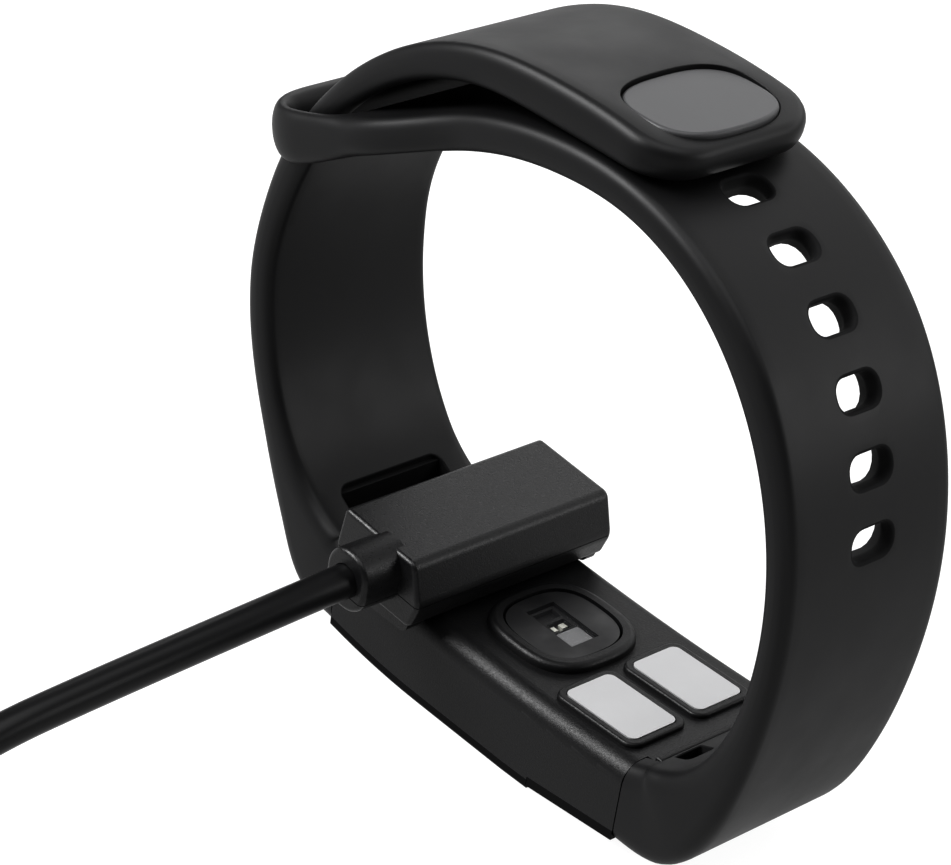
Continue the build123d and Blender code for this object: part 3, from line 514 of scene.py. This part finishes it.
def distance_to(points, loop):
    """Distance from each point to a closed loop."""
    start, run = loop, np.roll(loop, -1, axis=0) - loop
    length2 = np.maximum((run ** 2).sum(axis=1), 1e-12)
    best = np.full(len(points), 1e9)
    for a, r, l2 in zip(start, run, length2):
        t = np.clip(((points - a) @ r) / l2, 0, 1)
        best = np.minimum(best, np.linalg.norm(points - (a + t[:, None] * r), axis=1))
    return best


class SoftShell:
    """A moulded strap, built from loops in strap coordinates, with round edges on every one.

    A loop that has become vertices is a pair: their numbers, and their (u, v) as an array. Faces
    marked for painted shade take the second material, a duller copy of the silicone that paints shade in
    recesses and under the tail.
    """

    WELD = 0.002 * MM
    TRIM_BELOW_Z, TRIM_REACH = 15 * MM, 6 * MM       # only the strap's root is trimmed
    SHARP_ANGLE = radians(50)
    CLEAR_SHARE = 0.45                               # of a spacing, kept free along a sheet's edges

    def __init__(self, space):
        self.space = space
        self.vertices, self.faces = [], []
        # faces that take the painted-shade silicone
        self.painted_shade_faces = set()

    def vertex(self, u, v, w):
        """A new vertex in strap coordinates; its number."""
        self.vertices.append(self.space.place(u, v, w))
        return len(self.vertices) - 1

    def free_vertex(self, point):
        """A new vertex at a place in metres; its number."""
        self.vertices.append(Vector(point))
        return len(self.vertices) - 1

    def strip(self, rows, painted_shade=False):
        """Faces between rows of vertices that each close on themselves."""
        for a, b in zip(rows, rows[1:]):
            for k in range(len(a)):
                n = (k + 1) % len(a)
                self.face((a[k], a[n], b[n], b[k]), painted_shade)

    def face(self, corners, painted_shade=False):
        if painted_shade:
            self.painted_shade_faces.add(len(self.faces))
        self.faces.append(corners)

    def edge_rows(self, loop, sign, profile, painted_shade=False):
        """One closed row of vertices for each (offset, w) that profile(u, v) gives."""
        normals = loop_normals(loop) * sign
        stations = [profile(*p) for p in loop]
        rows, flats = [], []
        for k in range(len(stations[0])):
            flat = np.array([p + n * s[k][0] for p, n, s in zip(loop, normals, stations)])
            rows.append([self.vertex(p[0], p[1], s[k][1]) for p, s in zip(flat, stations)])
            flats.append(flat)
        self.strip(rows, painted_shade)
        return (rows[0], flats[0]), (rows[-1], flats[-1])

    def pit(self, outline, rim, floor_z, ledge=None):
        """A recess with upright walls below a mouth in the inner face; returns the mouth's row."""
        loop = resample(outline, FINE_SPACING)
        normals = -loop_normals(loop)
        rise = [rim / self.space.thickness(u) for u, _ in loop]
        rows, mouth = [], None
        for d, h in edge_round(1.0, 1.0):
            flat = loop + normals * d * rim
            rows.append([self.vertex(p[0], p[1], h * r) for p, r in zip(flat, rise)])
            mouth = mouth or (rows[0], flat)
        wall = [self.vertices[i] for i in rows[-1]]
        if ledge:
            ledge_x, ledge_z = (value * MM for value in ledge)
            rows.append([self.free_vertex((p.x, p.y, min(p.z, ledge_z))) for p in wall])
            wall = [Vector((max(p.x, ledge_x), p.y, min(p.z, ledge_z))) for p in wall]
            rows.append([self.free_vertex(p) for p in wall])
        rows.append([self.free_vertex((p.x, p.y, floor_z * MM)) for p in wall])
        # the recess's walls and floor take the painted-shade silicone, which darkens them like shade
        self.strip(rows, painted_shade=True)
        self.face(tuple(rows[-1]), painted_shade=True)
        return mouth

    def sheet(self, w, boundary, holes, spacing, painted_shade_from=1e9):
        """Fills one face of the strap, inside a boundary row and outside hole rows."""
        rows = [boundary] + holes
        points = np.vstack([flat for _, flat in rows])
        ids = [i for row, _ in rows for i in row]
        edges, start = [], 0
        for row, _ in rows:
            edges += [(start + k, start + (k + 1) % len(row)) for k in range(len(row))]
            start += len(row)
        low, high = boundary[1].min(axis=0), boundary[1].max(axis=0)
        us = np.arange(low[0], high[0], spacing)
        vs = np.linspace(low[1], high[1], int((high[1] - low[1]) / spacing) + 1)
        grid = np.array([(u, v) for u in us for v in vs])
        clear = spacing * self.CLEAR_SHARE
        keep = inside(grid, boundary[1]) & (distance_to(grid, boundary[1]) > clear)
        for _, flat in holes:
            keep &= ~inside(grid, flat) & (distance_to(grid, flat) > clear)
        grid = grid[keep]
        ids += [self.vertex(u, v, w) for u, v in grid]
        points = np.vstack([points, grid])
        out = delaunay_2d_cdt([Vector(p) for p in points], edges, [], 0, 1e-6)
        places = np.array([tuple(p) for p in out[0]])
        back = [ids[origin[0]] if origin else self.vertex(*place, w)
                for origin, place in zip(out[3], places)]
        triangles = np.array([f for f in out[2] if len(f) == 3])
        centres = places[triangles].mean(axis=1)
        keep = inside(centres, boundary[1])
        for _, flat in holes:
            keep &= ~inside(centres, flat)
        for triangle, centre in zip(triangles[keep], centres[keep]):
            self.face(tuple(back[i] for i in triangle), painted_shade=bool(centre[0] > painted_shade_from))

    def finish(self, name, end_x, side):
        """Closes the shell, and trims its root square against the module."""
        bm = bmesh.new()
        made = [bm.verts.new(p) for p in self.vertices]
        for number, face in enumerate(self.faces):
            corners = [made[i] for i in face]
            if len(set(corners)) == len(corners) and bm.faces.get(corners) is None:
                bm.faces.new(corners).material_index = int(number in self.painted_shade_faces)
        bmesh.ops.remove_doubles(bm, verts=bm.verts, dist=self.WELD)
        near = [f for f in bm.faces
                if all(v.co.z < self.TRIM_BELOW_Z and (v.co.x - end_x * MM) * side < self.TRIM_REACH
                       for v in f.verts)]
        corners = dict.fromkeys(v for f in near for v in f.verts)
        sides = dict.fromkeys(e for f in near for e in f.edges)
        bmesh.ops.bisect_plane(bm, geom=[*corners, *sides, *near], plane_co=(end_x * MM, 0, 0),
                               plane_no=(-side, 0, 0), clear_outer=True)
        loose = [v for v in bm.verts if not v.link_faces]
        bmesh.ops.delete(bm, geom=loose, context="VERTS")
        bmesh.ops.remove_doubles(bm, verts=bm.verts, dist=self.WELD)
        rim = [e for e in bm.edges if len(e.link_faces) == 1]
        bmesh.ops.triangle_fill(bm, edges=rim, use_beauty=True)
        bmesh.ops.recalc_face_normals(bm, faces=bm.faces)
        mesh = bpy.data.meshes.new(name)
        bm.to_mesh(mesh)
        bm.free()
        mesh.shade_smooth()
        mesh.set_sharp_from_angle(angle=self.SHARP_ANGLE)
        piece = bpy.data.objects.new(name, mesh)
        bpy.context.scene.collection.objects.link(piece)
        return piece


def edge_round(reach, rise, power=EDGE_POWER):
    """(offset, depth) pairs round an edge, from the face down to the wall."""
    share = 2 / power
    return [(reach * (1 - sin(t) ** share), rise * (1 - cos(t) ** share)) for t in QUARTER_TURN]


def round_profile(space, opening=None):
    """The strap's outer edge: fully round where it is thin, with shoulders where it is thick."""
    def profile(u, v):
        thick = space.thickness(u)
        share = min(1.0, max(0.0, (thick - THIN) / (THICK - THIN)))
        reach = THIN_REACH + (THICK_REACH - THIN_REACH) * share
        ring = 0
        if opening is not None:
            bar = distance_to(np.array([[u, v]]), opening)[0]
            ring = eased(bar, RING_FAR, RING_NEAR)
            reach += (min(RING_EDGE_REACH, BAR_SHARE * bar) - reach) * ring
        most = thick / 2 - LEAST_WALL
        outer_rise = min(most, OUTER_RISE + RING_EXTRA_RISE * ring) / thick
        inner_rise = min(most, INNER_RISE) / thick
        power = EDGE_POWER + (BAR_POWER - EDGE_POWER) * ring
        upper = [(d, 1 - h) for d, h in edge_round(reach, outer_rise, power)]
        return upper + edge_round(reach, inner_rise, power)[::-1]
    return profile


def slot_profile(space):
    """A slot's wall: a soft bevel at the outer face, and a flare at the slot's ends inside."""
    def profile(u, v):
        reach, rise = SLOT_BEVEL
        mouth = [(d, 1 - h) for d, h in edge_round(reach, rise / space.thickness(u), BAR_POWER)]
        flare = SLOT_FLARE + SLOT_END_FLARE * eased(abs(v), 1.0, SLOT_HALF_LENGTH)
        return mouth + [(flare * k / 4, FLARE_TOP_W - FLARE_TOP_W * k / 4) for k in range(5)]
    return profile


def ring_hole_profile(space, outline):
    """The ring's inside: with the outer edge, it makes the ring's bars round."""
    def profile(u, v):
        reach = min(RING_HOLE_REACH, BAR_SHARE * distance_to(np.array([[u, v]]), outline)[0])
        thick = space.thickness(u)
        rise = min(thick / 2 - LEAST_WALL, INNER_RISE) / thick
        rounding = edge_round(reach, rise, BAR_POWER)
        return [(d, 1 - h) for d, h in rounding] + rounding[::-1]
    return profile


def seat_profile(space):
    """The cap's seat: a small rounding, then a straight wall down to the seat's floor."""
    def profile(u, v):
        rounding = edge_round(SEAT_RIM, SEAT_RIM / space.thickness(u))
        return [(d, 1 - h) for d, h in rounding] + [(0, SEAT_FLOOR_W)]
    return profile


def root_half_width(u):
    """Half the width near the module, where the swell begins."""
    return STRAP_HALF_WIDTH + SWELL * eased(u, 2, SWELL_FULL_U)


def hole_strap_boundary(space):
    """Outline in (u, v), counterclockwise: module end, strap, flare, ring."""
    flare_start, flare_end = (space.u_of_x(x) for x in FLARE_X)
    end = space.u_of_x(RING_END_X)
    lower = [(u, -root_half_width(u)) for u in np.arange(STRAP_ROOT_U, flare_start, 2.0)]
    for share in np.linspace(0, 1, 14):
        widening = (RING_HALF_WIDTH - STRAP_HALF_WIDTH) * eased(share, 0, 1)
        lower.append((flare_start + (flare_end - flare_start) * share,
                      -(STRAP_HALF_WIDTH + SWELL + widening)))
    return with_mirror(lower + tip_corner(end, RING_HALF_WIDTH + SWELL, RING_CORNER))


def peg_strap_boundary(space):
    """Outline in (u, v), counterclockwise: module end, narrowing, tail and its round tip."""
    end = space.u_of_x(TAIL_TIP_X)
    tail_half = PEG_STRAP_HALF_WIDTH + SWELL
    lower = []
    for u in np.arange(STRAP_ROOT_U, end - TAIL_CORNER, 1.5):
        half = root_half_width(u)
        lower.append((u, -(half + (tail_half - half) * eased(u, *NARROWING_U))))
    return with_mirror(lower + tip_corner(end, tail_half, TAIL_CORNER))


def dress_skin(piece, materials):
    """The silicone, and a duller copy of it that paints shade on the faces inside recesses and under the
    tail.
    """
    for slot in ("strap", "strap_painted_shade"):
        piece.data.materials.append(materials[slot])


def build_hole_strap(materials):
    space = StrapSpace(HOLE_STRAP_OUTER, HOLE_STRAP_INNER)
    shell = SoftShell(space)
    opening_far, opening_near = (space.u_of_x(x) for x in RING_OPENING_X)
    opening = rectangle_between((opening_near, opening_far), (-RING_OPENING_HALF, RING_OPENING_HALF),
                                RING_OPENING_CORNER, steps=10)
    opening = resample(opening, OPENING_SPACING)
    outline = resample(hole_strap_boundary(space), SKIN_SPACING)
    top, bottom = shell.edge_rows(outline, 1, round_profile(space, opening))
    holes = []
    for index in range(SLOT_COUNT):
        centre = (FIRST_SLOT + index * SLOT_PITCH, 0)
        loop = rounded_rectangle(centre, SLOT_HALF_WIDTH, SLOT_HALF_LENGTH, SLOT_CORNER)
        # the slot walls take the painted-shade silicone, which darkens the inside of each slot
        holes.append(shell.edge_rows(resample(loop, FINE_SPACING), -1, slot_profile(space), painted_shade=True))
    holes.append(shell.edge_rows(opening, -1, ring_hole_profile(space, outline)))
    outer_holes, inner_holes = (list(rows) for rows in zip(*holes))
    tongue_room = rectangle_between((POCKET_ROOT_U, space.u_of_inner_x(COVERED_POCKET_X)),
                                    (-TONGUE_ROOM_HALF, TONGUE_ROOM_HALF), TONGUE_ROOM_CORNER)
    inner_holes.append(shell.pit(tongue_room, SHARP_RIM, POCKET_FLOOR_Z))
    lever_slot = rectangle_between([space.u_of_inner_x(x) for x in LEVER_SLOT_X], LEVER_SLOT_Y,
                                   LEVER_SLOT_CORNER)
    inner_holes.append(shell.pit(lever_slot, SHARP_RIM, POCKET_FLOOR_Z))
    shell.sheet(1.0, top, outer_holes, SKIN_SPACING)
    shell.sheet(0.0, bottom, inner_holes, SKIN_SPACING)
    piece = shell.finish("hole_strap_skin", HOLE_STRAP_OUTER[0][0] + ROOT_CLEARANCE, 1)
    dress_skin(piece, materials)
    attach(piece, "band")
    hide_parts("hole_strap")


def build_peg_strap(materials):
    space = StrapSpace(PEG_STRAP_OUTER, PEG_STRAP_INNER, inner_side=-1)
    shell = SoftShell(space)
    outline = resample(peg_strap_boundary(space), SKIN_SPACING)
    top, bottom = shell.edge_rows(outline, 1, round_profile(space))
    cap_low, cap_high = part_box("peg_cap")
    cap_u = space.u_of_x((cap_low[0] + cap_high[0]) / 2 / MM)
    seat_half_u, seat_half_v = (half + SEAT_GAP for half in CAP_HALF_SIZE)
    seat = resample(squircle((cap_u, 0), seat_half_u, seat_half_v), SEAT_SPACING)
    seat_mouth, seat_floor = shell.edge_rows(seat, -1, seat_profile(space))
    pocket = rectangle_between((POCKET_ROOT_U, space.u_of_inner_x(LEDGE_X)),
                               (-POCKET_HALF_WIDTH, POCKET_HALF_WIDTH), POCKET_CORNER)
    pocket_mouth = shell.pit(pocket, POCKET_RIM, POCKET_FLOOR_Z, ledge=(OPEN_POCKET_X, LEDGE_Z))
    shell.sheet(1.0, top, [seat_mouth], SKIN_SPACING)
    shell.sheet(SEAT_FLOOR_W, seat_floor, [], SEAT_FLOOR_SPACING)
    underside_u = float(space.u[np.argmax(space.outer[:, 1] > UNDERSIDE_Z)])
    # past underside_u the inner face takes the painted-shade silicone, which paints the shade under the
    # tail
    shell.sheet(0.0, bottom, [pocket_mouth], SKIN_SPACING, painted_shade_from=underside_u)
    piece = shell.finish("peg_strap_skin", PEG_STRAP_OUTER[0][0] - ROOT_CLEARANCE, -1)
    dress_skin(piece, materials)
    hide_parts("peg_strap", "peg_strap_tail")
    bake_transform(piece)


# ---- cable ----------------------------------------------------------------------------------------
def coil_points(per_turn=24):
    """Turns of the put-away length: inwards on the floor, up, and outwards on top of them.

    Each turn keeps its radius and moves to the next one in the last part of its round.
    """
    points = []
    for step in range(1, int((len(COIL_TURNS) - 0.5) * per_turn)):
        turn = step / per_turn
        round_number = int(turn)
        here = COIL_TURNS[round_number]
        following = COIL_TURNS[min(round_number + 1, len(COIL_TURNS) - 1)]
        radius = here + (following - here) * eased(turn - round_number, 0.82, 1.0)
        z = COIL_LAYER_Z[0] + (COIL_LAYER_Z[1] - COIL_LAYER_Z[0]) * eased(turn, *COIL_RISE)
        angle = pi + 2 * pi * turn
        points.append((COIL_CENTRE[0] + radius * cos(angle), COIL_CENTRE[1] + radius * sin(angle), z))
    return points


def build_cable(material):
    points = CABLE_ROUTE + coil_points() + CABLE_TAIL
    curve = bpy.data.curves.new("charging_cable", "CURVE")
    curve.dimensions = "3D"
    curve.bevel_depth = CABLE_DIAMETER / 2 * MM
    curve.bevel_resolution = 8
    curve.resolution_u = 6
    curve.use_fill_caps = True
    spline = curve.splines.new("NURBS")
    spline.points.add(len(points) - 1)
    for target, point in zip(spline.points, points):
        target.co = (*(Vector(point) * MM), 1)
    spline.order_u = 3
    spline.use_endpoint_u = True
    spline.use_smooth = True
    cable = bpy.data.objects.new("charging_cable", curve)
    bpy.context.scene.collection.objects.link(cable)
    curve.materials.append(material)
    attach(cable, "charger")
    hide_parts("cable_run", "cable_coil", "cable_tail")


# ---- studio ---------------------------------------------------------------------------------------
WORLD_GLOW, FLOOR_GLOW = 0.1, 0.95
FLOOR_SIZE = 3
VIEW_GAMMA = 0.76                      # makes the dark tones darker
BAND_CENTRE = (0, 0, 0.03)
LIGHTS = (                             # name, place and target in metres, size in metres, watts
    ("top_light", (0.1, -0.05, 0.75), BAND_CENTRE, (0.7, 0.7), 6.4),
    ("back_light", (0, 0.6, 0.38), (0, 0, 0.1), (2.2, 0.5), 9),
    ("front_light", (-0.38, -0.45, 0.5), BAND_CENTRE, (0.45, 0.35), 15),
    ("right_light", (0.65, 0.4, 0.3), BAND_CENTRE, (0.5, 0.4), 2.2),
)


def add_light(name, place, target, size, power):
    """A rectangular light at a place in metres, turned towards the target."""
    data = bpy.data.lights.new(name, "AREA")
    data.shape = "RECTANGLE"
    data.size, data.size_y = size
    data.energy = power
    light = bpy.data.objects.new(name, data)
    place, target = Vector(place), Vector(target)
    turn = (place - target).to_track_quat("Z", "Y").to_matrix().to_4x4()
    light.matrix_world = Matrix.Translation(place) @ turn
    bpy.context.scene.collection.objects.link(light)


def add_floor():
    bpy.ops.mesh.primitive_plane_add(size=FLOOR_SIZE, location=(0, 0, 0))
    floor = bpy.context.object
    floor.name = "floor"
    material, tree, shader = new_material("floor_white", (0.1, 0.1, 0.1), 0.8, specular=0.0)
    vary_color(tree, shader, object_noise(tree, 3, 2), (0.09, 0.09, 0.09), (0.11, 0.11, 0.11))
    shader.inputs["Emission Color"].default_value = (1, 1, 1, 1)
    shader.inputs["Emission Strength"].default_value = FLOOR_GLOW
    floor.data.materials.append(material)


def add_studio():
    world = bpy.data.worlds.new("studio")
    bpy.context.scene.world = world
    world.use_nodes = True
    background = world.node_tree.nodes["Background"]
    background.inputs["Color"].default_value = (1, 1, 1, 1)
    background.inputs["Strength"].default_value = WORLD_GLOW
    add_floor()
    for light in LIGHTS:
        add_light(*light)


def main():
    bpy.context.scene.view_settings.view_transform = "Standard"
    bpy.context.scene.view_settings.gamma = VIEW_GAMMA
    add_camera()
    materials = make_materials()
    dress_nodes(materials)
    build_cable(materials["jacket"])
    build_hole_strap(materials)
    build_peg_strap(materials)
    add_studio()


main()
